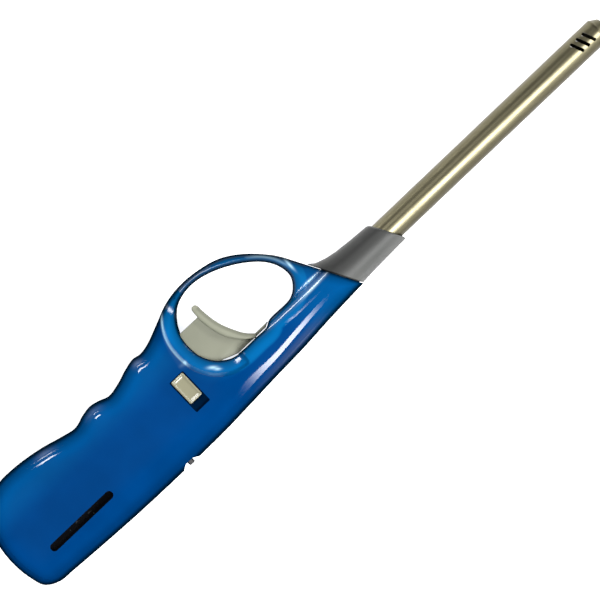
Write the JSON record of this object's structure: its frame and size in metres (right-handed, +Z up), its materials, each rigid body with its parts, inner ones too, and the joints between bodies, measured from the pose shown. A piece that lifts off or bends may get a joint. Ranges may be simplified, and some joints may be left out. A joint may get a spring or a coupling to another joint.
{
  "type": "long-reach gas lighter",
  "caption": "Long-reach lighter: two-part grip with a finger guard, sliding trigger, lock button, fuel window, tapered collar and a slotted metal barrel.",
  "frame": {"origin": "point of the flat right side, which the lighter rests on, below the barrel's centre line and near the middle of the grip", "axes": "+X along the barrel towards its tip, +Y towards the trigger finger, +Z up through the thickness to the left side, which carries the lock button"},
  "size_m": [0.2714, 0.0469, 0.0203],
  "materials": {
    "handle_blue": "glossy moulded polystyrene, deep blue",
    "collar_grey": "satin moulded plastic, mid grey",
    "trigger_pale": "satin moulded plastic, pale grey",
    "lock_beige": "polished moulded plastic, warm light grey",
    "barrel_metal": "satin drawn metal tube, warm grey",
    "tank_smoke": "smoke-dark clear moulded tank",
    "inner_white": "natural white moulded plastic",
    "inner_black": "black moulded plastic",
    "adjuster_black": "black moulded plastic",
    "wire_black": "high-tension insulation",
    "valve_brass": "turned brass",
    "spring_steel": "drawn spring wire",
    "screw_steel": "zinc plated"
  },
  "bodies": {
    "handle_body": {"left_shell": "handle_blue", "right_shell": "handle_blue", "shell_screw_1": "screw_steel", "shell_screw_2": "screw_steel", "shell_screw_3": "screw_steel", "nose_collar": "collar_grey", "barrel_tube": "barrel_metal", "gas_hose": "inner_white", "nozzle_holder": "inner_black", "nozzle_jet": "valve_brass", "electrode": "spring_steel", "piezo_housing": "inner_white", "piezo_terminal": "valve_brass", "trigger_spring": "spring_steel", "ignition_wire": "wire_black", "fuel_tank": "tank_smoke", "tank_lid": "inner_white", "tank_wick": "inner_white", "refill_valve_body": "valve_brass", "refill_valve_spring": "spring_steel", "valve_body": "valve_brass", "valve_spring": "spring_steel", "gas_lever_pin": "spring_steel"},
    "trigger": {"trigger": "trigger_pale"},
    "plunger": {"piezo_plunger": "inner_black"},
    "lever": {"gas_lever": "valve_brass"},
    "stem": {"valve_stem": "valve_brass"},
    "lock": {"lock_slider": "lock_beige"},
    "adjuster": {"flame_adjuster": "adjuster_black"},
    "refill_stem": {"refill_valve_stem": "spring_steel"}
  },
  "joints": [
    {"name": "trigger_slide", "type": "slide", "parent": "handle_body", "child": "trigger", "axis": [-1, 0, 0], "range_m": [0, 0.005], "stiffness_N_per_m": 900, "springref_m": -0.004, "deforming": ["trigger_spring"]},
    {"name": "plunger_slide", "type": "slide", "parent": "handle_body", "child": "plunger", "axis": [-1, 0, 0], "range_m": [0, 0.00502]},
    {"name": "lever_tilt", "type": "hinge", "parent": "handle_body", "child": "lever", "pos_m": [0.018, 0.0024, 0.01], "axis": [0, 0, 1], "range_deg": [0, 12.1]},
    {"name": "valve_lift", "type": "slide", "parent": "handle_body", "child": "stem", "axis": [1, 0, 0], "range_m": [0, 0.00082], "deforming": ["valve_spring"]},
    {"name": "lock_slide", "type": "slide", "parent": "handle_body", "child": "lock", "axis": [0, -1, 0], "range_m": [0, 0.003]},
    {"name": "adjuster_turn", "type": "hinge", "parent": "handle_body", "child": "adjuster", "pos_m": [0.007, -0.0012, 0.01], "axis": [1, 0, 0], "range_deg": [-25, 25]},
    {"name": "refill_press", "type": "slide", "parent": "handle_body", "child": "refill_stem", "axis": [1, 0, 0], "range_m": [0, 0.0015], "stiffness_N_per_m": 400, "springref_m": -0.002, "deforming": ["refill_valve_spring"]}
  ],
  "couplings": [
    {"joint": "plunger_slide", "follows": "trigger_slide", "ratio": 1},
    {"joint": "lever_tilt", "follows": "trigger_slide", "rad_per_m": 41.888},
    {"joint": "valve_lift", "follows": "trigger_slide", "ratio": 0.16}
  ]
}
